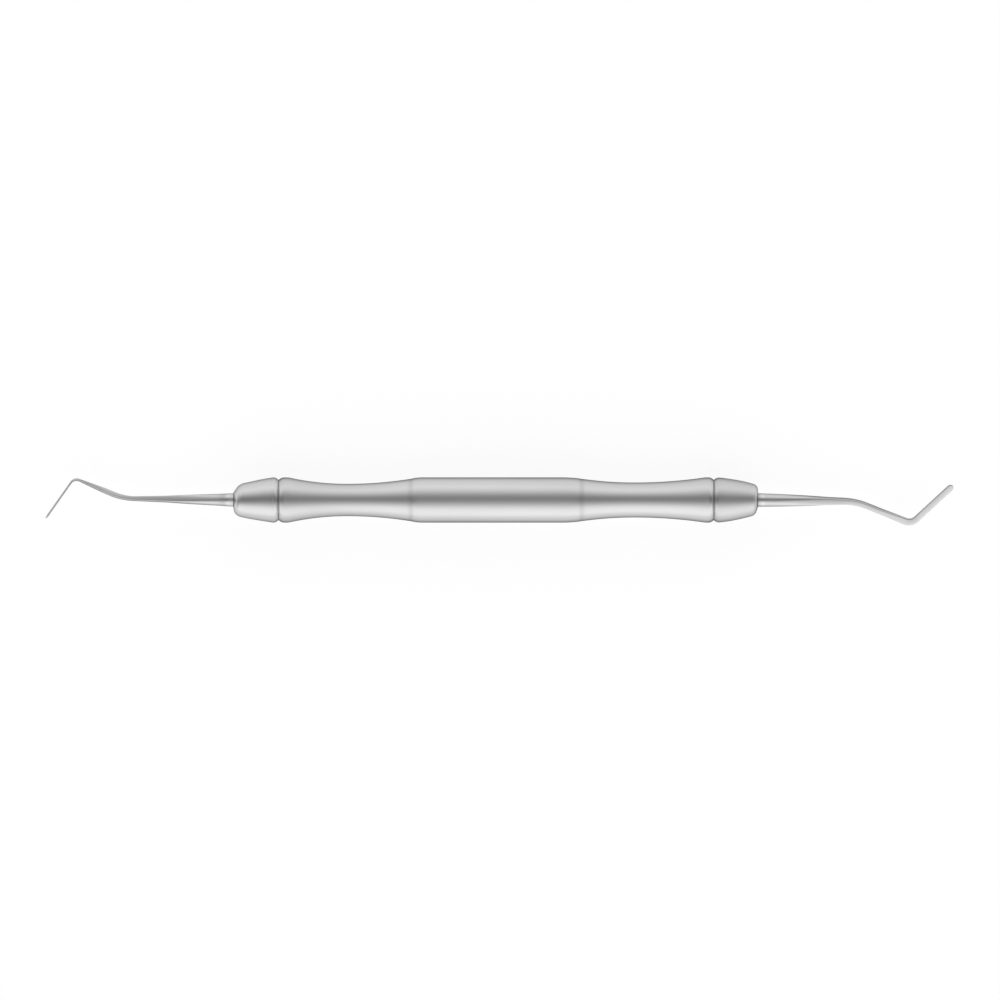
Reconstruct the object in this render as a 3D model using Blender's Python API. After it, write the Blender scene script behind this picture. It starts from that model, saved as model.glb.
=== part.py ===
"""Double-ended dental spatula in stainless steel, lying on its grip.

A hollow turned grip has an end cone pressed into each mouth, and each cone holds the tang of a bent
working end. The two flat blades are a quarter turn apart: the left one stands on edge and the right one
lies flat. Metres, +Z up. The origin is on the table under the middle of the grip and +X runs to the right
working end. Each working end bends in a plane through the grip's axis that is rolled a little off level.
"""

import math

import bmesh
import bpy
import numpy as np
from mathutils import Matrix, Vector

# Grip: a bar turned outside and drilled through
STOCK_DIAMETER = 0.00875
WAIST_WALL = 0.0006
BORE_CHAMFER = 0.0002
BARREL_LENGTH = 0.0329
CREASE_DROP = 0.00027
CREASE_LINE_WIDTH = 0.0008
CREASE_LINE_DEPTH = 0.00003
WAIST_LENGTH = 0.02415
BEAD_RADIUS = 0.006
BEAD_EDGE_LENGTH = 0.00125
GROOVE_DEPTH = 0.0005
GROOVE_SLOPE = math.radians(45)
GROOVE_EDGE_RADIUS = 0.00075

# Finger waists: the left one is deeper and nearer the middle of its hollow
LEFT_SHOULDER_LENGTH = 0.0023
LEFT_WAIST_DIAMETER = 0.00625
LEFT_WAIST_OFFSET = 0.0122
RIGHT_SHOULDER_LENGTH = 0.0038
RIGHT_WAIST_DIAMETER = 0.00676
RIGHT_WAIST_OFFSET = 0.0101

# End cones: a rounded crest at the groove, a slightly bellied flank and a round nose. The right crest is
# turned a little thinner than the grip's mouth.
RIGHT_CREST_DIAMETER = 0.00846
RIGHT_CREST_EDGE_RADIUS = 0.0011
CONE_LENGTH = 0.00854
CONE_FLANK_RADIUS = 0.057
NOSE_RADIUS = 0.0022
NOSE_RADIUS_CENTRE = 0.00119
SPIGOT_LENGTH = 0.007
SPIGOT_CHAMFER = 0.0003
SPIGOT_CLEARANCE = 0.00005
SHOULDER_GAP = 0.0001

# Tang of a working end in the socket of its cone
TANG_DIAMETER = 0.0026
TANG_LENGTH = 0.0105
TANG_CHAMFER = 0.0003
TANG_CLEARANCE = 0.00005
SOCKET_END_GAP = 0.0003
SOCKET_CHAMFER = 0.0001

# Places along a working end: from the nose, to each side of the knee, and before and after the elbow
FLATS_START = 0.0045
FLATS_MADE = 0.013
KNEE_SPREAD = 0.0016
NECK_END = 0.0062
ELBOW_START = 0.0005
BLADE_START = 0.0016
KNEE_RADIUS = 0.012

# A shank is turned to a taper and then ground with four flats, which clear the round where they start.
UNGROUND_SIZE = 0.0042
FLATS_CLEARANCE = 1.06

# Left working end: centreline lengths from corner to corner, directions in degrees, the round where the
# flats start and what they leave of it, and the sizes between the upright flats and between the level ones
LEFT_SHANK_LENGTH = 0.02135
LEFT_SHANK_ANGLE = 0.83
LEFT_NECK_LENGTH = 0.01036
LEFT_NECK_ANGLE = 23.3
LEFT_BLADE_LENGTH = 0.00969
LEFT_BLADE_ANGLE = -56.3
LEFT_ELBOW_RADIUS = 0.0017
LEFT_ROLL = -16.0
LEFT_ROUND_SIZE = 0.00228
LEFT_CORNER_SIZE = 0.00165
LEFT_SHANK_WIDTH = 0.00112
LEFT_SHANK_HEIGHT = 0.0011
LEFT_FOOT_WIDTH = 0.00072
LEFT_FOOT_HEIGHT = 0.00084
LEFT_NECK_WIDTH = 0.00088
LEFT_NECK_HEIGHT = 0.00088
LEFT_ELBOW_WIDTH = 0.0003
LEFT_ELBOW_HEIGHT = 0.00117
LEFT_BLADE_WIDTH = 0.00027
LEFT_BLADE_HEIGHT = 0.00117

# Right working end
RIGHT_SHANK_LENGTH = 0.01875
RIGHT_SHANK_ANGLE = -0.85
RIGHT_NECK_LENGTH = 0.01174
RIGHT_NECK_ANGLE = -23.05
RIGHT_BLADE_LENGTH = 0.0111
RIGHT_BLADE_ANGLE = 45.0
RIGHT_ELBOW_RADIUS = 0.002
RIGHT_ROLL = 21.0
RIGHT_ROUND_SIZE = 0.00236
RIGHT_CORNER_SIZE = 0.00195
RIGHT_SHANK_WIDTH = 0.00132
RIGHT_SHANK_HEIGHT = 0.00136
RIGHT_FOOT_WIDTH = 0.001
RIGHT_FOOT_HEIGHT = 0.00122
RIGHT_NECK_WIDTH = 0.00093
RIGHT_NECK_HEIGHT = 0.00116
RIGHT_ELBOW_WIDTH = 0.0014
RIGHT_ELBOW_HEIGHT = 0.0005
RIGHT_BLADE_WIDTH = 0.00128
RIGHT_BLADE_HEIGHT = 0.0003

# Fineness of the surfaces
TURNED_SIDES = 36
SECTION_SIDES = 20
ARC_STEP = math.radians(10)
HOLLOW_STEP = 0.002
TAPER_STEP = 0.0012
BEND_STEP = math.radians(12)
TIP_STEPS = 5
EASING = 0.0007
EASING_SAMPLES = 9
SHARP_EDGE = math.radians(35)

# Crispness of the corners where two flats meet, or a flat meets the round
SHANK_CRISPNESS = 12.0
FLATS_CRISPNESS = 16.0
BLADE_CRISPNESS = 7.0

# Finish of the steel: shade of grey and roughness
GRIP_FINISH = (0.66, 0.36)
CONE_FINISH = (0.66, 0.34)
BLADE_FINISH = (0.6, 0.3)

# Worked out from the sizes above
STOCK_RADIUS = STOCK_DIAMETER / 2
CREASE_RADIUS = STOCK_RADIUS - CREASE_DROP
BORE_RADIUS = min(LEFT_WAIST_DIAMETER, RIGHT_WAIST_DIAMETER) / 2 - WAIST_WALL
SPIGOT_RADIUS = BORE_RADIUS - SPIGOT_CLEARANCE
SOCKET_RADIUS = TANG_DIAMETER / 2 + TANG_CLEARANCE
GROOVE_RADIUS = STOCK_RADIUS - GROOVE_DEPTH
CREASE_AT = BARREL_LENGTH / 2
BEAD_AT = CREASE_AT + WAIST_LENGTH
GROOVE_AT = BEAD_AT + BEAD_EDGE_LENGTH
CONE_FACE_AT = GROOVE_AT + SHOULDER_GAP
NOSE_AT = GROOVE_AT + CONE_LENGTH
AXIS_HEIGHT = STOCK_RADIUS * math.cos(math.pi / TURNED_SIDES)
WELD = 1e-7


def level_arc(level, end, radius=None):
    """Points from level, where the arc runs parallel to the axis, to end. Both are (along, out)."""
    run = end[0] - level[0]
    rise = end[1] - level[1]
    radius = radius or (run * run + rise * rise) / (2 * abs(rise))
    sweep = math.asin(min(1.0, abs(run) / radius))
    steps = max(2, math.ceil(sweep / ARC_STEP), math.ceil(abs(run) / HOLLOW_STEP))
    turn = [sweep * step / steps for step in range(steps + 1)]
    along = math.copysign(radius, run)
    out = math.copysign(radius, rise)
    return [(level[0] + along * math.sin(a), level[1] + out * (1 - math.cos(a))) for a in turn]


def circle_arc(centre, radius, start, end):
    """Points on a circle from angle start to angle end, measured from the axis direction."""
    sweep = abs(end - start)
    steps = max(2, math.ceil(sweep / ARC_STEP), math.ceil(radius * sweep / HOLLOW_STEP))
    angles = [start + (end - start) * step / steps for step in range(steps + 1)]
    return [(centre[0] + radius * math.cos(a), centre[1] + radius * math.sin(a)) for a in angles]


def bead_curve(waist, crest):
    """A hollow arc level at the waist that runs smoothly into the bead's arc, level at its crest."""
    run = crest[0] - waist[0]
    rise = crest[1] - waist[1]
    turn = 2 * math.atan(rise / run)
    hollow_radius = run / math.sin(turn) - BEAD_RADIUS
    meet = (
        waist[0] + hollow_radius * math.sin(turn),
        waist[1] + hollow_radius * (1 - math.cos(turn)),
    )
    hollow = level_arc(waist, meet, hollow_radius)
    bead = level_arc(crest, meet, BEAD_RADIUS)
    return hollow + bead[::-1][1:]


def groove_edge(bottom, level, radius, side):
    """A round edge and a straight bevel on one side of a groove, from a crest's level to the bottom."""
    fall = radius * (1 - math.cos(GROOVE_SLOPE))
    bevel = (level - GROOVE_RADIUS - fall) / math.tan(GROOVE_SLOPE)
    crest = (bottom + side * (bevel + radius * math.sin(GROOVE_SLOPE)), level)
    bevel_top = (bottom + side * bevel, level - fall)
    return level_arc(crest, bevel_top, radius) + [(bottom, GROOVE_RADIUS)]


def grip_half(shoulder_length, waist_diameter, waist_offset):
    """Outline of one half of the grip, from the end of the plain barrel out to the groove."""
    barrel_end = (CREASE_AT - shoulder_length, STOCK_RADIUS)
    crease = (CREASE_AT, CREASE_RADIUS)
    waist = (CREASE_AT + waist_offset, waist_diameter / 2)
    crest = (BEAD_AT, STOCK_RADIUS)
    shoulder = level_arc(barrel_end, crease)
    hollow = level_arc(waist, crease)[::-1]
    half_line = CREASE_LINE_WIDTH / 2
    line = [
        (CREASE_AT - half_line, np.interp(CREASE_AT - half_line, *zip(*shoulder))),
        (CREASE_AT, CREASE_RADIUS - CREASE_LINE_DEPTH),
        (CREASE_AT + half_line, np.interp(CREASE_AT + half_line, *zip(*hollow))),
    ]
    before = [point for point in shoulder if point[0] < line[0][0] - WELD]
    after = [point for point in hollow if point[0] > line[2][0] + WELD]
    edge = groove_edge(GROOVE_AT, STOCK_RADIUS, GROOVE_EDGE_RADIUS, -1)
    return before + line + after + bead_curve(waist, crest)[1:] + edge


def grip_outline():
    """Closed section of the grip: the turned outside, and the bore with its chamfered mouths."""
    left = grip_half(LEFT_SHOULDER_LENGTH, LEFT_WAIST_DIAMETER, LEFT_WAIST_OFFSET)
    right = grip_half(RIGHT_SHOULDER_LENGTH, RIGHT_WAIST_DIAMETER, RIGHT_WAIST_OFFSET)
    mouth = [(GROOVE_AT, BORE_RADIUS + BORE_CHAMFER), (GROOVE_AT - BORE_CHAMFER, BORE_RADIUS)]
    outside = [(-x, r) for x, r in reversed(left)] + right
    return outside + mouth + [(-x, r) for x, r in reversed(mouth)]


def flank_centre(crest, edge_radius, nose):
    """Centre of the flank's circle, which holds both the crest's circle and the nose's in it."""
    to_crest = CONE_FLANK_RADIUS - edge_radius
    to_nose = CONE_FLANK_RADIUS - NOSE_RADIUS
    run = nose[0] - crest[0]
    rise = nose[1] - crest[1]
    apart = math.hypot(run, rise)
    near = (to_crest**2 - to_nose**2 + apart**2) / (2 * apart)
    aside = math.sqrt(to_crest**2 - near**2)
    return (
        crest[0] + (near * run + aside * rise) / apart,
        crest[1] + (near * rise - aside * run) / apart,
    )


def cone_outline(crest_radius, edge_radius):
    """Open section of an end cone, from the axis at the spigot's end round to the socket's floor."""
    spigot_end = CONE_FACE_AT - SPIGOT_LENGTH
    edge = groove_edge(CONE_FACE_AT, crest_radius, edge_radius, 1)[::-1]
    crest = (edge[-1][0], crest_radius - edge_radius)
    nose = (NOSE_AT - NOSE_RADIUS, NOSE_RADIUS_CENTRE)
    flank = flank_centre(crest, edge_radius, nose)
    crest_angle = math.atan2(crest[1] - flank[1], crest[0] - flank[0])
    nose_angle = math.atan2(nose[1] - flank[1], nose[0] - flank[0])
    mouth_angle = math.asin((SOCKET_RADIUS + SOCKET_CHAMFER - nose[1]) / NOSE_RADIUS)
    mouth_at = nose[0] + NOSE_RADIUS * math.cos(mouth_angle)
    socket_floor = NOSE_AT - TANG_LENGTH - SOCKET_END_GAP
    return (
        [(spigot_end, 0), (spigot_end, SPIGOT_RADIUS - SPIGOT_CHAMFER)]
        + [(spigot_end + SPIGOT_CHAMFER, SPIGOT_RADIUS), (CONE_FACE_AT, SPIGOT_RADIUS)]
        + edge[:-1]
        + circle_arc(crest, edge_radius, math.pi / 2, crest_angle)
        + circle_arc(flank, CONE_FLANK_RADIUS, crest_angle, nose_angle)[1:-1]
        + circle_arc(nose, NOSE_RADIUS, nose_angle, mouth_angle)
        + [(mouth_at - SOCKET_CHAMFER, SOCKET_RADIUS), (socket_floor, SOCKET_RADIUS), (socket_floor, 0)]
    )


def heading(degrees):
    angle = math.radians(degrees)
    return Vector((math.cos(angle), math.sin(angle)))


def bent_route(corners, radii):
    """Centreline as straight and bent stretches: (length, start, direction, turn per length)."""
    stretches = []
    place = corners[0]
    for index, radius in enumerate(radii, 1):
        way = (corners[index] - corners[index - 1]).normalized()
        after = (corners[index + 1] - corners[index]).normalized()
        turn = -way.angle_signed(after)
        trim = radius * math.tan(abs(turn) / 2)
        length = (corners[index] - place).length - trim
        stretches.append((length, place, way, 0.0))
        bend_start = place + way * length
        stretches.append((radius * abs(turn), bend_start, way, math.copysign(1 / radius, turn)))
        place = corners[index] + after * trim
    way = (corners[-1] - corners[-2]).normalized()
    stretches.append(((corners[-1] - place).length, place, way, 0.0))
    return stretches


def on_route(stretches, distance):
    """Place and direction at a distance along the centreline."""
    for length, start, way, curve in stretches:
        if distance <= length or (length, start, way, curve) == stretches[-1]:
            break
        distance -= length
    if not curve:
        return start + way * distance, way
    turn = curve * distance
    across = Vector((-way.y, way.x))
    place = start + way * (math.sin(turn) / curve) + across * ((1 - math.cos(turn)) / curve)
    return place, way * math.cos(turn) + across * math.sin(turn)


def route_distances(stretches, tip_radius):
    """Distances of the sections: evenly spaced, closer in the bends and round the blade's tip."""
    places = [0.0]
    for length, _, _, curve in stretches:
        steps = math.ceil(max(length * abs(curve) / BEND_STEP, length / TAPER_STEP))
        places += [places[-1] + length * (step + 1) / steps for step in range(steps)]
    tip = places[-1]
    body = [place for place in places if place < tip - tip_radius]
    quarter = [math.pi / 2 * step / TIP_STEPS for step in range(TIP_STEPS)]
    return body + [tip - tip_radius + tip_radius * math.sin(a) for a in quarter], tip


def section_table(round_size, corner_size, shank, foot, neck, elbow, blade, knee_at, elbow_at, tip_at):
    """Rows of (distance from the nose, round, between upright flats, between level flats, crispness)."""
    clear = FLATS_CLEARANCE * round_size
    return [
        (0.0, TANG_DIAMETER, UNGROUND_SIZE, UNGROUND_SIZE, SHANK_CRISPNESS),
        (FLATS_START, round_size, clear, clear, SHANK_CRISPNESS),
        (FLATS_MADE, corner_size, *shank, FLATS_CRISPNESS),
        (knee_at - KNEE_SPREAD, corner_size, *foot, FLATS_CRISPNESS),
        (knee_at + KNEE_SPREAD, corner_size, *neck, FLATS_CRISPNESS),
        (elbow_at - NECK_END, corner_size, *neck, FLATS_CRISPNESS),
        (elbow_at - ELBOW_START, corner_size, *elbow, SHANK_CRISPNESS),
        (elbow_at + BLADE_START, corner_size, *blade, BLADE_CRISPNESS),
        (tip_at, corner_size, *blade, BLADE_CRISPNESS),
    ]


def eased(distance, rows, column):
    """Value of one column at a distance, with its corners softened over a short length."""
    near = distance + np.linspace(-EASING, EASING, EASING_SAMPLES)
    return float(np.mean(np.interp(near, [row[0] for row in rows], [row[column] for row in rows])))


def section_ring(place, way, round_size, width, height, crispness):
    """One closed section, square to the centreline: a round cut by upright flats and by level ones."""
    across = Vector((-way.y, way.x))
    ring = []
    for step in range(SECTION_SIDES):
        angle = 2 * math.pi * (step + 0.5) / SECTION_SIDES
        flat = min(width, round_size) * math.cos(angle)
        rise = min(height, round_size) * math.sin(angle)
        shares = (math.hypot(flat, rise) / round_size, abs(flat) / width, abs(rise) / height)
        reach = sum(share**crispness for share in shares) ** (-1 / crispness)
        spot = place + across * (reach * flat / 2)
        ring.append(Vector((spot.x, spot.y, reach * rise / 2)))
    return ring


def working_end_rings(lengths, angles, elbow_radius, rounds, sizes):
    """Sections of one working end from its tang to the tip of its blade, along +X from the nose."""
    corners = [Vector((0, 0))]
    for length, degrees in zip(lengths, angles):
        corners.append(corners[-1] + heading(degrees) * length)
    stretches = bent_route(corners, [KNEE_RADIUS, elbow_radius])
    reach = [sum(stretch[0] for stretch in stretches[:count]) for count in (1, 2, 3, 4)]
    knee_at = (reach[0] + reach[1]) / 2
    elbow_at = (reach[2] + reach[3]) / 2
    tip_radius = max(sizes[-1]) / 2
    distances, tip_at = route_distances(stretches, tip_radius)
    rows = section_table(*rounds, *sizes, knee_at, elbow_at, tip_at)
    tang = [(-TANG_LENGTH, TANG_DIAMETER - 2 * TANG_CHAMFER), (-TANG_LENGTH + TANG_CHAMFER, TANG_DIAMETER)]
    rings = [
        section_ring(Vector((x, 0)), Vector((1, 0)), size, UNGROUND_SIZE, UNGROUND_SIZE, SHANK_CRISPNESS)
        for x, size in tang
    ]
    for distance in distances:
        place, way = on_route(stretches, distance)
        round_here, width, height, crispness = (eased(distance, rows, column) for column in (1, 2, 3, 4))
        past = max(0.0, distance - (tip_at - tip_radius))
        narrowed = math.sqrt(max(0.0, 1 - (past / tip_radius) ** 2))
        if width > height:
            width *= narrowed
        else:
            height *= narrowed
        rings.append(section_ring(place, way, round_here, width, height, crispness))
    return rings


def steel(name, finish):
    shade, roughness = finish
    material = bpy.data.materials.new(name)
    material.use_nodes = True
    shader = material.node_tree.nodes["Principled BSDF"]
    shader.inputs["Base Color"].default_value = (shade, shade, shade, 1)
    shader.inputs["Metallic"].default_value = 1.0
    shader.inputs["Roughness"].default_value = roughness
    return material


def add_object(name, shape, material):
    """Closes the bmesh into an object at the height of the grip's axis."""
    bmesh.ops.remove_doubles(shape, verts=shape.verts, dist=WELD)
    bmesh.ops.recalc_face_normals(shape, faces=shape.faces)
    mesh = bpy.data.meshes.new(name)
    shape.to_mesh(mesh)
    shape.free()
    mesh.shade_smooth()
    mesh.set_sharp_from_angle(angle=SHARP_EDGE)
    mesh.materials.append(material)
    piece = bpy.data.objects.new(name, mesh)
    piece.location = (0, 0, AXIS_HEIGHT)
    bpy.context.scene.collection.objects.link(piece)
    return piece


def turned(name, outline, side, closed, material):
    """A piece turned about the X axis, with one flat of its polygon facing down."""
    shape = bmesh.new()
    points = [shape.verts.new((side * x, 0, -r)) for x, r in outline]
    edges = [shape.edges.new(pair) for pair in zip(points, points[1:])]
    if closed:
        edges.append(shape.edges.new((points[-1], points[0])))
    half_step = Matrix.Rotation(math.pi / TURNED_SIDES, 3, "X")
    bmesh.ops.rotate(shape, verts=points, cent=(0, 0, 0), matrix=half_step)
    bmesh.ops.spin(
        shape,
        geom=points + edges,
        cent=(0, 0, 0),
        axis=(1, 0, 0),
        angle=2 * math.pi,
        steps=TURNED_SIDES,
    )
    return add_object(name, shape, material)


def lofted(name, rings, side, roll, material):
    """A piece skinned over its sections, closed by the first and the last and rolled about the X axis."""
    shape = bmesh.new()
    loops = [[shape.verts.new((side * (NOSE_AT + p.x), p.y, p.z)) for p in ring] for ring in rings]
    for loop, following in zip(loops, loops[1:]):
        for corner in range(SECTION_SIDES):
            beside = (corner + 1) % SECTION_SIDES
            shape.faces.new((loop[corner], loop[beside], following[beside], following[corner]))
    shape.faces.new(loops[0])
    shape.faces.new(loops[-1])
    turn = Matrix.Rotation(math.radians(roll), 3, "X")
    bmesh.ops.rotate(shape, verts=shape.verts, cent=(0, 0, 0), matrix=turn)
    return add_object(name, shape, material)


def build():
    for old in list(bpy.data.objects):
        bpy.data.objects.remove(old, do_unlink=True)
    turned("handle_tube", grip_outline(), 1, True, steel("grip_steel", GRIP_FINISH))
    left_cone = cone_outline(STOCK_RADIUS, GROOVE_EDGE_RADIUS)
    right_cone = cone_outline(RIGHT_CREST_DIAMETER / 2, RIGHT_CREST_EDGE_RADIUS)
    turned("left_end_cone", left_cone, -1, False, steel("left_cone_steel", CONE_FINISH))
    turned("right_end_cone", right_cone, 1, False, steel("right_cone_steel", CONE_FINISH))
    left = working_end_rings(
        (LEFT_SHANK_LENGTH, LEFT_NECK_LENGTH, LEFT_BLADE_LENGTH),
        (LEFT_SHANK_ANGLE, LEFT_NECK_ANGLE, LEFT_BLADE_ANGLE),
        LEFT_ELBOW_RADIUS,
        (LEFT_ROUND_SIZE, LEFT_CORNER_SIZE),
        [
            (LEFT_SHANK_WIDTH, LEFT_SHANK_HEIGHT),
            (LEFT_FOOT_WIDTH, LEFT_FOOT_HEIGHT),
            (LEFT_NECK_WIDTH, LEFT_NECK_HEIGHT),
            (LEFT_ELBOW_WIDTH, LEFT_ELBOW_HEIGHT),
            (LEFT_BLADE_WIDTH, LEFT_BLADE_HEIGHT),
        ],
    )
    right = working_end_rings(
        (RIGHT_SHANK_LENGTH, RIGHT_NECK_LENGTH, RIGHT_BLADE_LENGTH),
        (RIGHT_SHANK_ANGLE, RIGHT_NECK_ANGLE, RIGHT_BLADE_ANGLE),
        RIGHT_ELBOW_RADIUS,
        (RIGHT_ROUND_SIZE, RIGHT_CORNER_SIZE),
        [
            (RIGHT_SHANK_WIDTH, RIGHT_SHANK_HEIGHT),
            (RIGHT_FOOT_WIDTH, RIGHT_FOOT_HEIGHT),
            (RIGHT_NECK_WIDTH, RIGHT_NECK_HEIGHT),
            (RIGHT_ELBOW_WIDTH, RIGHT_ELBOW_HEIGHT),
            (RIGHT_BLADE_WIDTH, RIGHT_BLADE_HEIGHT),
        ],
    )
    lofted("left_working_end", left, -1, LEFT_ROLL, steel("left_blade_steel", BLADE_FINISH))
    lofted("right_working_end", right, 1, RIGHT_ROLL, steel("right_blade_steel", BLADE_FINISH))


build()
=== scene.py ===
"""Looks of a double-ended dental spatula in satin stainless steel, lying on its grip on a white bench.

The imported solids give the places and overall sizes. Each one is stood for by a finer piece of the same
form, which rides with the single body. Metres, +Z up, the right working end towards +X.
"""

import math

import bmesh
import bpy
import numpy as np
from mathutils import Matrix, Vector


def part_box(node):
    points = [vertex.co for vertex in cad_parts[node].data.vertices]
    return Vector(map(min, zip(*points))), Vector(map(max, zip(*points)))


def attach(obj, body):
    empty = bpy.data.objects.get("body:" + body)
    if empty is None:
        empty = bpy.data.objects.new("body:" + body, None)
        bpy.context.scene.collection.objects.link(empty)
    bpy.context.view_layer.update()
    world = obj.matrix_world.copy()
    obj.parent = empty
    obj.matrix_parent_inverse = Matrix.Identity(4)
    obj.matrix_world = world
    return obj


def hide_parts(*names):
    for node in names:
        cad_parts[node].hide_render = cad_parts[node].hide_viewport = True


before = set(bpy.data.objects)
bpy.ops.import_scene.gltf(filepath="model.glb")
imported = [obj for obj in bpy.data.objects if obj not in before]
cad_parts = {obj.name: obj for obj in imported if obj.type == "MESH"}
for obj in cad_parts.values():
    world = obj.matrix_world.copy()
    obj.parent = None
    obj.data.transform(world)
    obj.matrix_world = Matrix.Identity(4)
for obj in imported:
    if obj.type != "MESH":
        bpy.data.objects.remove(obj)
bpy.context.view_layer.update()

# Hollow grip: a stainless bar turned outside, drilled through and bead blasted to an even satin. A fine
# line is turned at each end of its plain barrel, the two finger waists are hollow, and each mouth is a
# rounded bead that the end cone is pressed into.
MM = 0.001
grip_low, grip_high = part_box("handle_tube")
axis_height = (grip_low.z + grip_high.z) / 2
grip_radius = (grip_high.z - grip_low.z) / 2
groove_at = grip_high.x
groove_depth = 0.47 * MM
bead_at = groove_at - 1.25 * MM
groove_slope = math.radians(38)
bead_radius = 6.0 * MM
crease_at = 16.45 * MM
crease_drop = 0.27 * MM
crease_line = (1.0 * MM, 0.022 * MM)
bore_radius = 2.52 * MM
bore_chamfer = 0.2 * MM
left_waist = {"shoulder": 2.3 * MM, "radius": 3.113 * MM, "offset": 12.2 * MM, "edge": 1.6 * MM}
right_waist = {"shoulder": 3.8 * MM, "radius": 3.367 * MM, "offset": 10.1 * MM, "edge": 1.35 * MM}
sides_around = 180
arc_turn = math.radians(2)
arc_spacing = 0.25 * MM
crease_points = 9
weld_distance = 1e-7
sharp_edge = math.radians(35)

# Finish of the grip. A ring of tone or of roughness is (place along the axis, half width, share added).
# The rings of tone are painted shade and painted light: shade in the crease lines, around the grooves
# and over the left waist, and light at the bottom of the grooves.
grip_shade = 0.66
grip_roughness = 0.34
dark_edge_tint = 0.05
blasted_depth = 0.0015 * MM
crease_shadow = (crease_at, 0.5 * MM, -0.14)
# Painted shade over the beads around each groove, and painted light at the bottom of the groove
groove_painted_shade = (groove_at, 1.5 * MM, -0.06)
groove_light = (groove_at, 0.35 * MM, 0.07)
groove_polish = (groove_at, 1.5 * MM, -0.2)
# Painted shade over the left waist, and a rougher finish there
left_waist_painted_shade = (-34 * MM, 9 * MM, -0.05)
left_waist_matting = (-34 * MM, 9 * MM, 0.12)


def arc(centre, radius, start, end):
    """Points on a circle, closely spaced in angle and in length. Angles run from the axis direction."""
    sweep = abs(end - start)
    steps = max(2, math.ceil(sweep / arc_turn), math.ceil(radius * sweep / arc_spacing))
    angles = np.linspace(start, end, steps + 1)
    return [(centre[0] + radius * math.cos(a), centre[1] + radius * math.sin(a)) for a in angles]


def arc_from_level(level, end, radius=None):
    """An arc that leaves its first point parallel to the axis and ends at the second one."""
    run = end[0] - level[0]
    rise = end[1] - level[1]
    radius = radius or (run * run + rise * rise) / (2 * abs(rise))
    centre = (level[0], level[1] + math.copysign(radius, rise))
    start = -math.copysign(math.pi / 2, rise)
    turn = math.asin(min(1.0, abs(run) / radius))
    return arc(centre, radius, start, start + math.copysign(turn, run * rise))


def edge_into_groove(bottom, level, radius, side):
    """A round edge that ends in a straight bevel, from crest level on one side to the groove's bottom."""
    floor = grip_radius - groove_depth
    fall = radius * (1 - math.cos(groove_slope))
    bevel_run = (level - floor - fall) / math.tan(groove_slope)
    crest = (bottom + side * (bevel_run + radius * math.sin(groove_slope)), level)
    bevel_top = (bottom + side * bevel_run, level - fall)
    return arc_from_level(crest, bevel_top, radius) + [(bottom, floor)]


def hollow_into_bead(waist, crest):
    """The hollow of a waist, running smoothly into the round of the bead."""
    run = crest[0] - waist[0]
    turn = 2 * math.atan((crest[1] - waist[1]) / run)
    hollow = run / math.sin(turn) - bead_radius
    meet = (waist[0] + hollow * math.sin(turn), waist[1] + hollow * (1 - math.cos(turn)))
    return arc_from_level(waist, meet, hollow) + arc_from_level(crest, meet, bead_radius)[::-1][1:]


def half_grip(waist):
    """Outline of one half of the grip as (along, out), from the end of the plain barrel to the groove."""
    crease = (crease_at, grip_radius - crease_drop)
    shoulder = arc_from_level((crease_at - waist["shoulder"], grip_radius), crease)
    bottom = (crease_at + waist["offset"], waist["radius"])
    hollow = arc_from_level(bottom, crease)[::-1]
    crest = (bead_at, grip_radius)
    width, depth = crease_line
    line = []
    for part in np.linspace(-1, 1, crease_points):
        x = crease_at + part * width / 2
        level = np.interp(x, *zip(*(shoulder + hollow[1:])))
        line.append((x, level - depth * math.cos(part * math.pi / 2) ** 2))
    before = [point for point in shoulder if point[0] < line[0][0]]
    after = [point for point in hollow if point[0] > line[-1][0]]
    edge = edge_into_groove(groove_at, grip_radius, waist["edge"], -1)
    return before + line + after + hollow_into_bead(bottom, crest)[1:] + edge


def mirrored(outline):
    """An outline of the right half turned over to the left half, and run through backwards."""
    return [(-x, out) for x, out in reversed(outline)]


def turn_piece(name, outline, closed):
    """Spins an outline of (along, out) points about the axis of the grip into one closed mesh."""
    shape = bmesh.new()
    points = [shape.verts.new((x, 0, -out)) for x, out in outline]
    edges = [shape.edges.new(pair) for pair in zip(points, points[1:])]
    if closed:
        edges.append(shape.edges.new((points[-1], points[0])))
    bmesh.ops.spin(
        shape,
        geom=points + edges,
        cent=(0, 0, 0),
        axis=(1, 0, 0),
        angle=2 * math.pi,
        steps=sides_around,
    )
    return make_piece(name, shape)


def make_piece(name, shape):
    """Closes a bmesh into a smooth-shaded object at the height of the grip's axis."""
    bmesh.ops.translate(shape, verts=shape.verts, vec=(0, 0, axis_height))
    bmesh.ops.remove_doubles(shape, verts=shape.verts, dist=weld_distance)
    bmesh.ops.recalc_face_normals(shape, faces=shape.faces)
    mesh = bpy.data.meshes.new(name)
    shape.to_mesh(mesh)
    shape.free()
    mesh.shade_smooth()
    mesh.set_sharp_from_angle(angle=sharp_edge)
    piece = bpy.data.objects.new(name, mesh)
    bpy.context.scene.collection.objects.link(piece)
    return piece


def new_group(title, inputs, outputs):
    """An empty shader node group with named number inputs and outputs."""
    group = bpy.data.node_groups.new(title, "ShaderNodeTree")
    for name, value in inputs.items():
        socket = group.interface.new_socket(name, in_out="INPUT", socket_type="NodeSocketFloat")
        socket.default_value = value
    for name in outputs:
        group.interface.new_socket(name, in_out="OUTPUT", socket_type="NodeSocketFloat")
    return group, group.nodes.new("NodeGroupInput"), group.nodes.new("NodeGroupOutput")


def maths(tree, operation, first, second=None, third=None):
    """A Math node on numbers or sockets. Returns its result."""
    node = tree.nodes.new("ShaderNodeMath")
    node.operation = operation
    for socket, value in zip(node.inputs, (first, second, third)):
        if isinstance(value, bpy.types.NodeSocket):
            tree.links.new(value, socket)
        elif value is not None:
            socket.default_value = value
    return node.outputs[0]


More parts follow.
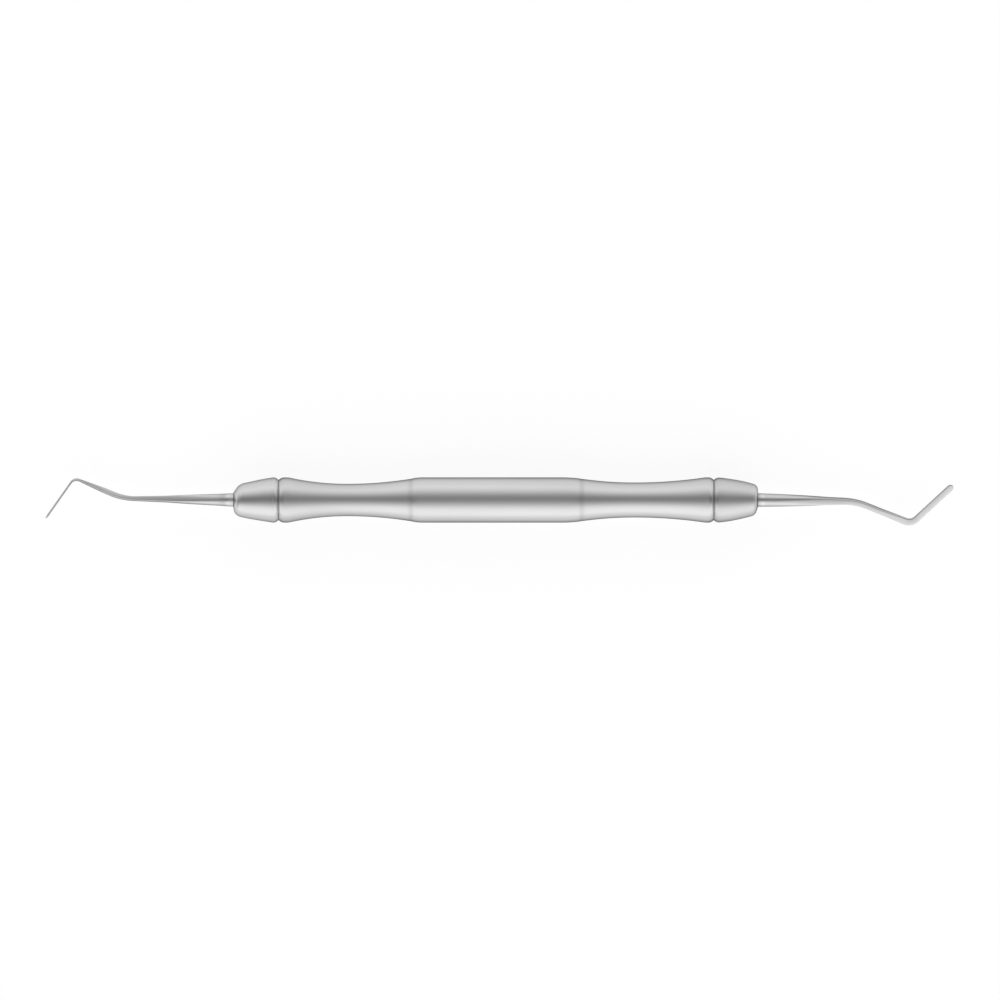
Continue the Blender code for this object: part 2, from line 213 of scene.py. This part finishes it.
def noise(tree, place, grain, detail):
    """Noise over a place vector, with its own grain along each axis."""
    mapping = tree.nodes.new("ShaderNodeMapping")
    mapping.inputs["Scale"].default_value = grain
    tree.links.new(place, mapping.inputs["Vector"])
    texture = tree.nodes.new("ShaderNodeTexNoise")
    texture.inputs["Scale"].default_value = 1.0
    texture.inputs["Detail"].default_value = detail
    tree.links.new(mapping.outputs["Vector"], texture.inputs["Vector"])
    return texture.outputs["Fac"]


def swing(tree, texture, amount):
    """A noise, which runs from 0 to 1, as a swing to both sides of zero by an amount."""
    return maths(tree, "MULTIPLY", maths(tree, "SUBTRACT", texture, 0.5), amount)


# The blasted satin that the grip and the cones share: soft lengthwise cloudiness, fine pits and faint
# turning lines under them. A grain is in changes per metre along, across and up.
cloud_grain = (110, 420, 420)
pit_grain = (9000, 9000, 9000)
turning_grain = (14000, 260, 260)
pit_share = 0.7
turning_share = 0.3
pits_in_shade = 0.5
satin, given, made = new_group(
    "blasted satin",
    {"Shade": grip_shade, "Roughness": grip_roughness, "Cloudiness": 0.04, "Pitting": 0.05},
    ("Shade", "Roughness", "Height"),
)
place = satin.nodes.new("ShaderNodeTexCoord").outputs["Object"]
clouds = noise(satin, place, cloud_grain, detail=2.0)
pits = noise(satin, place, pit_grain, detail=2.0)
lines = noise(satin, place, turning_grain, detail=1.0)
cloud_shift = swing(satin, clouds, given.outputs["Cloudiness"])
pit_shift = swing(satin, pits, given.outputs["Pitting"])
shade = maths(satin, "MULTIPLY", given.outputs["Shade"], maths(satin, "ADD", 1.0, cloud_shift))
satin.links.new(maths(satin, "MULTIPLY_ADD", pit_shift, pits_in_shade, shade), made.inputs["Shade"])
rough = maths(satin, "ADD", given.outputs["Roughness"], pit_shift)
satin.links.new(maths(satin, "SUBTRACT", rough, cloud_shift), made.inputs["Roughness"])
pitted = maths(satin, "MULTIPLY", pits, pit_share)
satin.links.new(maths(satin, "MULTIPLY_ADD", lines, turning_share, pitted), made.inputs["Height"])

# A soft ring at one place along the axis, for painted shade and painted light at seams, turned lines,
# grooves and the left waist, and for rings of smoother or rougher finish
ring, given, made = new_group("ring around the axis", {"Place": 0.04, "Half Width": 0.0004}, ("Mask",))
split = ring.nodes.new("ShaderNodeSeparateXYZ")
ring.links.new(ring.nodes.new("ShaderNodeTexCoord").outputs["Object"], split.inputs["Vector"])
away = maths(ring, "SUBTRACT", split.outputs["X"], given.outputs["Place"])
near = maths(ring, "DIVIDE", away, given.outputs["Half Width"])
fall = maths(ring, "MULTIPLY", maths(ring, "MULTIPLY", near, near), -1.0)
ring.links.new(maths(ring, "EXPONENT", fall), made.inputs["Mask"])


def grey(level):
    """A grey as a socket's colour."""
    return (level, level, level, 1)


def steel(name, edge_tint):
    """Bare steel whose grazing edge a tint darkens. Returns the material, its tree and its shader."""
    material = bpy.data.materials.new(name)
    material.use_nodes = True
    shader = material.node_tree.nodes["Principled BSDF"]
    shader.inputs["Metallic"].default_value = 1.0
    shader.inputs["Specular Tint"].default_value = grey(edge_tint)
    return material, material.node_tree, shader


def place_group(tree, group, **values):
    """A node group in a material, with its inputs set."""
    node = tree.nodes.new("ShaderNodeGroup")
    node.node_tree = group
    for name, value in values.items():
        node.inputs[name.replace("_", " ")].default_value = value
    return node


def finish_surface(tree, shader, shade, roughness, height, depth):
    """Feeds shade, roughness and surface height, in metres of depth, to a shader."""
    colour = tree.nodes.new("ShaderNodeCombineColor")
    for channel in colour.inputs:
        tree.links.new(shade, channel)
    tree.links.new(colour.outputs["Color"], shader.inputs["Base Color"])
    tree.links.new(roughness, shader.inputs["Roughness"])
    bump = tree.nodes.new("ShaderNodeBump")
    bump.inputs["Strength"].default_value = 1.0
    bump.inputs["Distance"].default_value = depth
    tree.links.new(height, bump.inputs["Height"])
    tree.links.new(bump.outputs["Normal"], shader.inputs["Normal"])


def with_rings(tree, value, rings):
    """A value that rises or falls by a share in rings around the axis."""
    for place, half_width, share in rings:
        mask = place_group(tree, ring, Place=place, Half_Width=half_width).outputs["Mask"]
        value = maths(tree, "MULTIPLY", value, maths(tree, "MULTIPLY_ADD", mask, share, 1.0))
    return value


def on_side(side, rings):
    """Rings that are given for the right end, at the end that a side of -1 or 1 stands for."""
    return [(side * place, half_width, share) for place, half_width, share in rings]


def satin_steel(name, shade, roughness, edge_tint, tones, roughenings):
    """Satin steel with rings of painted light and painted shade, and rings that are rougher or smoother.
    """
    material, tree, shader = steel(name, edge_tint)
    surface = place_group(tree, satin, Shade=shade, Roughness=roughness)
    tone = with_rings(tree, surface.outputs["Shade"], tones)
    rough = with_rings(tree, surface.outputs["Roughness"], roughenings)
    finish_surface(tree, shader, tone, rough, surface.outputs["Height"], blasted_depth)
    return material


mouth = [(groove_at, bore_radius + bore_chamfer), (groove_at - bore_chamfer, bore_radius)]
grip_outside = mirrored(half_grip(left_waist)) + half_grip(right_waist)
grip = turn_piece("hollow_grip", grip_outside + mouth + mirrored(mouth), closed=True)
grip_tones = [crease_shadow, groove_painted_shade, groove_light]
grip.data.materials.append(
    satin_steel(
        "satin grip steel",
        grip_shade,
        grip_roughness,
        dark_edge_tint,
        on_side(-1, grip_tones) + on_side(1, grip_tones) + [left_waist_painted_shade],
        on_side(-1, [groove_polish]) + on_side(1, [groove_polish]) + [left_waist_matting],
    )
)
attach(grip, "root")
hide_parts("handle_tube")

# End cones: two turned bullet-shaped plugs of the same blasted steel. Each has a spigot pressed into the
# grip up to its shoulder, which leaves the V-groove open, and a socket drilled in its nose for the tang.
cone_low, cone_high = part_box("right_end_cone")
nose_at = cone_high.x
groove_gap = 0.01 * MM
cone_face_at = groove_at + groove_gap
mouth_radius = 1.37 * MM
left_cone = {
    "crest": grip_radius,
    "edge": 1.15 * MM,
    "flank": 80 * MM,
    "corner": (2.1 * MM, 1.22 * MM),
    "face_lean": math.radians(23),
    "mouth": nose_at + 0.22 * MM,
    "skew": 0.095,
    "shade": 0.66,
    "roughness": 0.33,
    "edge_tint": 0.2,
}
right_cone = {
    "crest": 4.32 * MM,
    "edge": 1.4 * MM,
    "flank": 36 * MM,
    "corner": (1.3 * MM, 1.87 * MM),
    "face_lean": math.radians(12),
    "mouth": nose_at,
    "skew": 0.055,
    # The right cone's shade holds painted shade: it is the same steel as the left cone, made darker
    "shade": 0.625,
    "roughness": 0.38,
    "edge_tint": dark_edge_tint,
}
fit_clearance = 0.05 * MM
spigot_end = cone_low.x
spigot_radius = bore_radius - fit_clearance
spigot_chamfer = 0.3 * MM
tang_radius = 1.3 * MM
socket_radius = tang_radius + fit_clearance
socket_depth = 10.8 * MM
socket_floor = nose_at - socket_depth
skew_from = 44 * MM
skew_to = 48 * MM
skewed_out = 2.3 * MM
# Painted light in a ring around the mouth of each cone's nose
nose_painted_light = (0.8 * MM, 0.14)


def flank_centre(radius, crest, edge_radius, corner, corner_radius):
    """Centre of the flank's circle, which touches the rounds of the crest and of the nose's corner."""
    to_crest = radius - edge_radius
    to_corner = radius - corner_radius
    run = corner[0] - crest[0]
    rise = corner[1] - crest[1]
    apart = math.hypot(run, rise)
    near = (to_crest**2 - to_corner**2 + apart**2) / (2 * apart)
    aside = math.sqrt(to_crest**2 - near**2)
    return (
        crest[0] + (near * run + aside * rise) / apart,
        crest[1] + (near * rise - aside * run) / apart,
    )


def cone_outline(cone):
    """Outline of a cone as (along, out), from the spigot's end over the nose to the socket's floor."""
    rise = edge_into_groove(cone_face_at, cone["crest"], cone["edge"], 1)[::-1]
    crest = (rise[-1][0], cone["crest"] - cone["edge"])
    corner_radius, corner_out = cone["corner"]
    lean = cone["face_lean"]
    face = corner_out + corner_radius * math.sin(lean) - mouth_radius
    corner = (cone["mouth"] - face * math.tan(lean) - corner_radius * math.cos(lean), corner_out)
    flank = flank_centre(cone["flank"], crest, cone["edge"], corner, corner_radius)
    crest_angle = math.atan2(crest[1] - flank[1], crest[0] - flank[0])
    corner_angle = math.atan2(corner[1] - flank[1], corner[0] - flank[0])
    return (
        [(spigot_end, 0), (spigot_end, spigot_radius - spigot_chamfer)]
        + [(spigot_end + spigot_chamfer, spigot_radius), (cone_face_at, spigot_radius)]
        + rise[:-1]
        + arc(crest, cone["edge"], math.pi / 2, crest_angle)
        + arc(flank, cone["flank"], crest_angle, corner_angle)[1:-1]
        + arc(corner, corner_radius, corner_angle, lean)
        + [(cone["mouth"], mouth_radius), (cone["mouth"], socket_radius)]
        + [(socket_floor, socket_radius), (socket_floor, 0)]
    )


def smooth_step(value, low, high):
    """A share that rises smoothly from 0 at low to 1 at high."""
    share = min(1.0, max(0.0, (value - low) / (high - low)))
    return share * share * (3 - 2 * share)


def skew_nose(mesh, amount):
    """Leans the round of the nose a little, as hand blending leaves it, but not its socket's mouth."""
    for vertex in mesh.vertices:
        out = math.hypot(vertex.co.y, vertex.co.z - axis_height)
        near_nose = smooth_step(abs(vertex.co.x), skew_from, skew_to)
        off_mouth = smooth_step(out, mouth_radius, skewed_out)
        vertex.co.x += amount * vertex.co.y * near_nose * off_mouth


for side, name, cone in ((-1, "left_end_cone", left_cone), (1, "right_end_cone", right_cone)):
    plug = turn_piece(name + "_turned", [(side * x, out) for x, out in cone_outline(cone)], closed=False)
    skew_nose(plug.data, cone["skew"])
    plug.data.materials.append(
        satin_steel(
            "satin steel of " + name,
            cone["shade"],
            cone["roughness"],
            cone["edge_tint"],
            on_side(side, [(cone["mouth"], *nose_painted_light), groove_painted_shade, groove_light]),
            on_side(side, [groove_polish]),
        )
    )
    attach(plug, "root")
    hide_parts(name)

# Working ends: each is one hardened piece, forged and ground from a tapered round: a tang in the cone's
# socket, a shank with ground flats, a knee, a neck, an elbow and a thin round-nosed blade. The two are
# pressed in at different turns about the axis, with the left blade on edge and the right one flat.
tang_length = 10.5 * MM
tang_chamfer = 0.3 * MM
knee_radius = 12 * MM
unground = 4.2 * MM
unground_share = 1.06
flats_full_at = 13.0 * MM
knee_blend = 1.6 * MM
neck_ends_before = 6.2 * MM
elbow_sized_before = 0.5 * MM
blade_starts_after = 1.6 * MM
corner_easing = 0.7 * MM
easing_points = 15
section_sides = 64
section_spacing = 0.2 * MM
tip_sections = 15
face_crown = 0.06
girth = 4 * MM
scratch_depth = 0.001 * MM

# How sharply the faces of a section meet
tang_crispness = 10
round_crispness = 12
shank_crispness = 11
elbow_crispness = 4.5
blade_crispness = 3.2

# A stretch is (length, degrees from the axis), and a size is (round, upright flats, level flats, turn in
# degrees). The tones are rings of painted shade on the shank near the cone's nose and of painted light
# just beyond it, and the polish is rings of smoother finish.
left_end = {
    "shank": (21.35 * MM, 0.83),
    "neck": (10.36 * MM, 23.3),
    "blade": (9.63 * MM, -56.3),
    "elbow_radius": 1.35 * MM,
    "roll": math.radians(-16),
    "round_size": 2.36 * MM,
    "flats_start": 2.5 * MM,
    "shank_size": (1.77 * MM, 1.2 * MM, 1.18 * MM, 3),
    "foot_size": (1.67 * MM, 0.775 * MM, 0.905 * MM, 0),
    "neck_size": (1.59 * MM, 0.9 * MM, 0.9 * MM, -6),
    "elbow_size": (2.6 * MM, 0.34 * MM, 1.2 * MM, 3),
    "blade_size": (2.5 * MM, 0.31 * MM, 1.15 * MM, 4),
    "shade": 0.63,
    "roughness": 0.39,
    "tones": [(nose_at + 2.2 * MM, 0.8 * MM, -0.14), (nose_at + 1.1 * MM, 0.4 * MM, 0.08)],
    "polish": [(nose_at + 1.3 * MM, 0.5 * MM, -0.3)],
}
right_end = {
    "shank": (18.75 * MM, -0.85),
    "neck": (11.74 * MM, -23.05),
    "blade": (11.06 * MM, 45.0),
    "elbow_radius": 2.0 * MM,
    "roll": math.radians(21),
    "round_size": 2.42 * MM,
    "flats_start": 4.5 * MM,
    "shank_size": (2.08 * MM, 1.41 * MM, 1.45 * MM, -5),
    "foot_size": (2.02 * MM, 1.09 * MM, 1.33 * MM, -4),
    "neck_size": (1.84 * MM, 0.98 * MM, 1.22 * MM, 0),
    "elbow_size": (2.5 * MM, 1.42 * MM, 0.52 * MM, 0),
    "blade_size": (2.44 * MM, 1.3 * MM, 0.32 * MM, 0),
    "shade": 0.61,
    "roughness": 0.32,
    "tones": [(nose_at + 0.1 * MM, 0.3 * MM, -0.15), (nose_at + 0.9 * MM, 0.4 * MM, 0.08)],
    "polish": [(nose_at + 0.9 * MM, 0.5 * MM, -0.3)],
}


def bent_route(end):
    """The centreline as straight and bent stretches: (length, start, direction, turn per length)."""
    corners = [Vector((0, 0))]
    for length, degrees in (end["shank"], end["neck"], end["blade"]):
        angle = math.radians(degrees)
        corners.append(corners[-1] + Vector((math.cos(angle), math.sin(angle))) * length)
    stretches = []
    place = corners[0]
    for index, radius in ((1, knee_radius), (2, end["elbow_radius"])):
        way = (corners[index] - corners[index - 1]).normalized()
        after = (corners[index + 1] - corners[index]).normalized()
        turn = -way.angle_signed(after)
        trim = radius * math.tan(abs(turn) / 2)
        length = (corners[index] - place).length - trim
        stretches.append((length, place, way, 0.0))
        bend = (radius * abs(turn), place + way * length, way, math.copysign(1 / radius, turn))
        stretches.append(bend)
        place = corners[index] + after * trim
    way = (corners[3] - corners[2]).normalized()
    stretches.append(((corners[3] - place).length, place, way, 0.0))
    return stretches


def on_route(stretches, distance):
    """Place and direction at a distance along the centreline."""
    for length, start, way, curve in stretches[:-1]:
        if distance <= length:
            break
        distance -= length
    else:
        length, start, way, curve = stretches[-1]
    if not curve:
        return start + way * distance, way
    turn = curve * distance
    across = Vector((-way.y, way.x))
    place = start + way * (math.sin(turn) / curve) + across * ((1 - math.cos(turn)) / curve)
    return place, way * math.cos(turn) + across * math.sin(turn)


def sizes_along(end, knee, elbow, tip):
    """Rows of (distance from the nose, round, upright flats, level flats, turn, crispness)."""
    clear = unground_share * end["round_size"]
    return [
        (0, 2 * tang_radius, unground, unground, 0, round_crispness),
        (end["flats_start"], end["round_size"], clear, clear, 0, round_crispness),
        (flats_full_at, *end["shank_size"], shank_crispness),
        (knee - knee_blend, *end["foot_size"], shank_crispness),
        (knee + knee_blend, *end["neck_size"], shank_crispness),
        (elbow - neck_ends_before, *end["neck_size"], shank_crispness),
        (elbow - elbow_sized_before, *end["elbow_size"], elbow_crispness),
        (elbow + blade_starts_after, *end["blade_size"], blade_crispness),
        (tip, *end["blade_size"], blade_crispness),
    ]


def eased(distance, rows, column):
    """One column of the rows at a distance, with its corners eased to both sides."""
    near = distance + np.linspace(-corner_easing, corner_easing, easing_points)
    return float(np.mean(np.interp(near, [row[0] for row in rows], [row[column] for row in rows])))


def section(place, way, diameter, across, deep, degrees, crispness):
    """A closed outline, square to the centreline: a round cut by two pairs of flats, turned together."""
    aside = Vector((-way.y, way.x))
    turn = Matrix.Rotation(math.radians(degrees), 2)
    half_step = math.pi / section_sides
    outline = []
    for angle in np.linspace(0, 2 * math.pi, section_sides, endpoint=False) + half_step:
        flat = min(across, diameter) * math.cos(angle)
        rise = min(deep, diameter) * math.sin(angle)
        shares = (
            math.hypot(flat, rise) / diameter,
            abs(flat) / across * (1 + face_crown * math.sin(angle) ** 2),
            abs(rise) / deep * (1 + face_crown * math.cos(angle) ** 2),
        )
        reach = sum(share**crispness for share in shares) ** (-1 / crispness)
        flat, rise = turn @ Vector((reach * flat / 2, reach * rise / 2))
        spot = place + aside * flat
        outline.append(Vector((spot.x, spot.y, rise)))
    return outline


def working_end_sections(end):
    """Sections of a working end from its tang to the tip of its blade, with the distance of each."""
    stretches = bent_route(end)
    ends = np.cumsum([stretch[0] for stretch in stretches])
    knee = (ends[0] + ends[1]) / 2
    elbow = (ends[2] + ends[3]) / 2
    tip = ends[4]
    tip_radius = max(end["blade_size"][1:3]) / 2
    rows = sizes_along(end, knee, elbow, tip)
    straight = np.arange(0, tip - tip_radius, section_spacing)
    round_angles = np.linspace(0, math.pi / 2, tip_sections, endpoint=False)
    rounded = tip - tip_radius + tip_radius * np.sin(round_angles)
    sections = []
    for back, chamfer in ((tang_length, tang_chamfer), (tang_length - tang_chamfer, 0)):
        place = Vector((-back, 0))
        diameter = 2 * (tang_radius - chamfer)
        outline = section(place, Vector((1, 0)), diameter, unground, unground, 0, tang_crispness)
        sections.append((-back, outline))
    for distance in [*straight, *rounded]:
        place, way = on_route(stretches, distance)
        sizes = [eased(distance, rows, column) for column in range(1, 6)]
        diameter, across, deep, turn, crispness = sizes
        past = max(0.0, distance - (tip - tip_radius))
        narrowed = math.sqrt(max(0.0, 1 - (past / tip_radius) ** 2))
        if across > deep:
            across *= narrowed
        else:
            deep *= narrowed
        sections.append((distance, section(place, way, diameter, across, deep, turn, crispness)))
    return sections


def loft_piece(name, sections, side, roll):
    """Skins the sections into one closed mesh and lays out lengthwise coordinates over it in metres."""
    shape = bmesh.new()
    layout = shape.loops.layers.uv.new("along and around")
    distances = [distance for distance, _ in sections]
    loops = []
    for _, outline in sections:
        loops.append([shape.verts.new((side * (nose_at + spot.x), spot.y, spot.z)) for spot in outline])
    for distance, further, loop, following in zip(distances, distances[1:], loops, loops[1:]):
        for index in range(section_sides):
            beside = (index + 1) % section_sides
            face = shape.faces.new((loop[index], loop[beside], following[beside], following[index]))
            corners = ((distance, index), (distance, index + 1), (further, index + 1), (further, index))
            for corner, (along, around) in zip(face.loops, corners):
                corner[layout].uv = (along, around / section_sides * girth)
    for cap in (loops[0], loops[-1]):
        shape.faces.new(cap)
    bmesh.ops.rotate(shape, verts=shape.verts, cent=(0, 0, 0), matrix=Matrix.Rotation(roll, 3, "X"))
    return make_piece(name, shape)


# Lengthwise grinding of the working ends: streaks of shade and roughness, and fine scratches
streak_grain = (260, 3000, 1)
scratch_grain = (900, 26000, 1)
grinding, given, made = new_group(
    "lengthwise grinding",
    {"Shade": 0.62, "Roughness": 0.28, "Streaks": 0.08},
    ("Shade", "Roughness", "Height"),
)
place = grinding.nodes.new("ShaderNodeUVMap")
place.uv_map = "along and around"
streaks = noise(grinding, place.outputs["UV"], streak_grain, detail=2.0)
scratches = noise(grinding, place.outputs["UV"], scratch_grain, detail=2.0)
shift = swing(grinding, streaks, given.outputs["Streaks"])
fine = swing(grinding, scratches, given.outputs["Streaks"])
shade = maths(grinding, "MULTIPLY", given.outputs["Shade"], maths(grinding, "ADD", 1.0, shift))
grinding.links.new(shade, made.inputs["Shade"])
rough = maths(grinding, "ADD", given.outputs["Roughness"], maths(grinding, "SUBTRACT", fine, shift))
grinding.links.new(rough, made.inputs["Roughness"])
grinding.links.new(scratches, made.inputs["Height"])

for side, name, end in ((-1, "left_working_end", left_end), (1, "right_working_end", right_end)):
    blade = loft_piece(name + "_ground", working_end_sections(end), side, end["roll"])
    material, tree, shader = steel("ground steel of " + name, dark_edge_tint)
    surface = place_group(tree, grinding, Shade=end["shade"], Roughness=end["roughness"])
    tone = with_rings(tree, surface.outputs["Shade"], on_side(side, end["tones"]))
    rough = with_rings(tree, surface.outputs["Roughness"], on_side(side, end["polish"]))
    finish_surface(tree, shader, tone, rough, surface.outputs["Height"], scratch_depth)
    blade.data.materials.append(material)
    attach(blade, "root")
    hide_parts(name)

# White bench: a wide white sheet that the instrument lies on. Its own glow lifts it to the white of the
# photograph for the camera and in reflections, and the tent's light on it keeps the soft shadow.
bench_half = 3.0
bench_shade = 0.25
bench_glow = 0.84
shape = bmesh.new()
corners = [(-1, -1), (1, -1), (1, 1), (-1, 1)]
shape.faces.new([shape.verts.new((x * bench_half, y * bench_half, 0)) for x, y in corners])
mesh = bpy.data.meshes.new("bench")
shape.to_mesh(mesh)
shape.free()
bench = bpy.data.objects.new("bench", mesh)
bpy.context.scene.collection.objects.link(bench)
white = bpy.data.materials.new("white bench")
white.use_nodes = True
tree = white.node_tree
tree.nodes.remove(tree.nodes["Principled BSDF"])
diffuse = tree.nodes.new("ShaderNodeBsdfDiffuse")
diffuse.inputs["Color"].default_value = grey(bench_shade)
rays = tree.nodes.new("ShaderNodeLightPath")
seen = maths(tree, "ADD", rays.outputs["Is Camera Ray"], rays.outputs["Is Glossy Ray"])
seen = maths(tree, "ADD", seen, rays.outputs["Is Transmission Ray"])
glow = tree.nodes.new("ShaderNodeEmission")
tree.links.new(maths(tree, "MULTIPLY", seen, bench_glow), glow.inputs["Strength"])
both = tree.nodes.new("ShaderNodeAddShader")
tree.links.new(diffuse.outputs["BSDF"], both.inputs[0])
tree.links.new(glow.outputs["Emission"], both.inputs[1])
tree.links.new(both.outputs["Shader"], tree.nodes["Material Output"].inputs["Surface"])
mesh.materials.append(white)

# Light tent: two long pale walls, in front and behind, that run along the instrument, under a dark
# opening overhead that the camera looks through, with dimmer walls at the ends. Each row is (degrees
# from straight up, towards the back, and brightness).
wall_rows = [
    (-180, 1.0), (-85, 1.36), (-65, 1.3), (-48, 1.24), (-34, 0.93), (-22, 0.67), (-12, 0.44), (0, 0.245),
    (12, 0.25), (24, 0.37), (38, 0.67), (55, 0.99), (75, 1.16), (95, 0.8), (180, 0.8),
]
tent_light = max(brightness for _, brightness in wall_rows)

# The walls at the ends, and the darker ends of the opening. A reach runs from where it begins to where it
# is full: in how far a direction points along the instrument, from 0 to 1, or in angles from straight up.
end_wall = 0.38
end_wall_reach = (0.74, 0.98)
opening_sides = (math.radians(35), math.radians(10))
opening_ends = (0.05, 0.4)
opening_darkening = 0.35


def smooth_share(tree, value, low, high):
    """A Map Range node that rises smoothly from 0 at low to 1 at high. Returns its result."""
    node = tree.nodes.new("ShaderNodeMapRange")
    node.interpolation_type = "SMOOTHSTEP"
    node.inputs["From Min"].default_value = low
    node.inputs["From Max"].default_value = high
    tree.links.new(value, node.inputs["Value"])
    return node.outputs["Result"]


world = bpy.data.worlds.new("light tent")
bpy.context.scene.world = world
world.use_nodes = True
tree = world.node_tree
split = tree.nodes.new("ShaderNodeSeparateXYZ")
tree.links.new(tree.nodes.new("ShaderNodeTexCoord").outputs["Generated"], split.inputs["Vector"])
turn = maths(tree, "ARCTAN2", split.outputs["Y"], split.outputs["Z"])
lengthwise = maths(tree, "ABSOLUTE", split.outputs["X"])
walls = tree.nodes.new("ShaderNodeValToRGB")
tree.links.new(maths(tree, "MULTIPLY_ADD", turn, 0.5 / math.pi, 0.5), walls.inputs["Fac"])
stops = walls.color_ramp.elements
while len(stops) < len(wall_rows):
    stops.new(0.5)
for stop, (degrees, brightness) in zip(stops, wall_rows):
    stop.position = degrees / 360 + 0.5
    stop.color = grey(brightness / tent_light)
around = tree.nodes.new("ShaderNodeMix")
around.data_type = "RGBA"
tree.links.new(smooth_share(tree, lengthwise, *end_wall_reach), around.inputs["Factor"])
wall_socket, end_socket = [socket for socket in around.inputs if socket.type == "RGBA"]
tree.links.new(walls.outputs["Color"], wall_socket)
end_socket.default_value = grey(end_wall / tent_light)
overhead = smooth_share(tree, maths(tree, "ABSOLUTE", turn), *opening_sides)
darker = maths(tree, "MULTIPLY", overhead, smooth_share(tree, lengthwise, *opening_ends))
kept = maths(tree, "MULTIPLY_ADD", darker, -opening_darkening, 1.0)
background = tree.nodes["Background"]
tree.links.new(maths(tree, "MULTIPLY", kept, tent_light), background.inputs["Strength"])
colour = next(socket for socket in around.outputs if socket.type == "RGBA")
tree.links.new(colour, background.inputs["Color"])

# Camera: square above the grip, as the photograph is taken. The frame is 192.4 mm wide at the height of
# the axis, and its middle lies 0.73 mm to the right of the grip's middle.
frame_width = 192.37 * MM
camera_offset = 0.73 * MM
camera = bpy.data.cameras.new("camera")
camera.lens = 400
camera.sensor_width = 36
camera.clip_start = 0.01
camera.clip_end = 20
eye = bpy.data.objects.new("camera", camera)
eye.location = (camera_offset, 0, axis_height + frame_width * camera.lens / camera.sensor_width)
bpy.context.scene.collection.objects.link(eye)
bpy.context.scene.camera = eye
bpy.context.scene.view_settings.view_transform = "Standard"
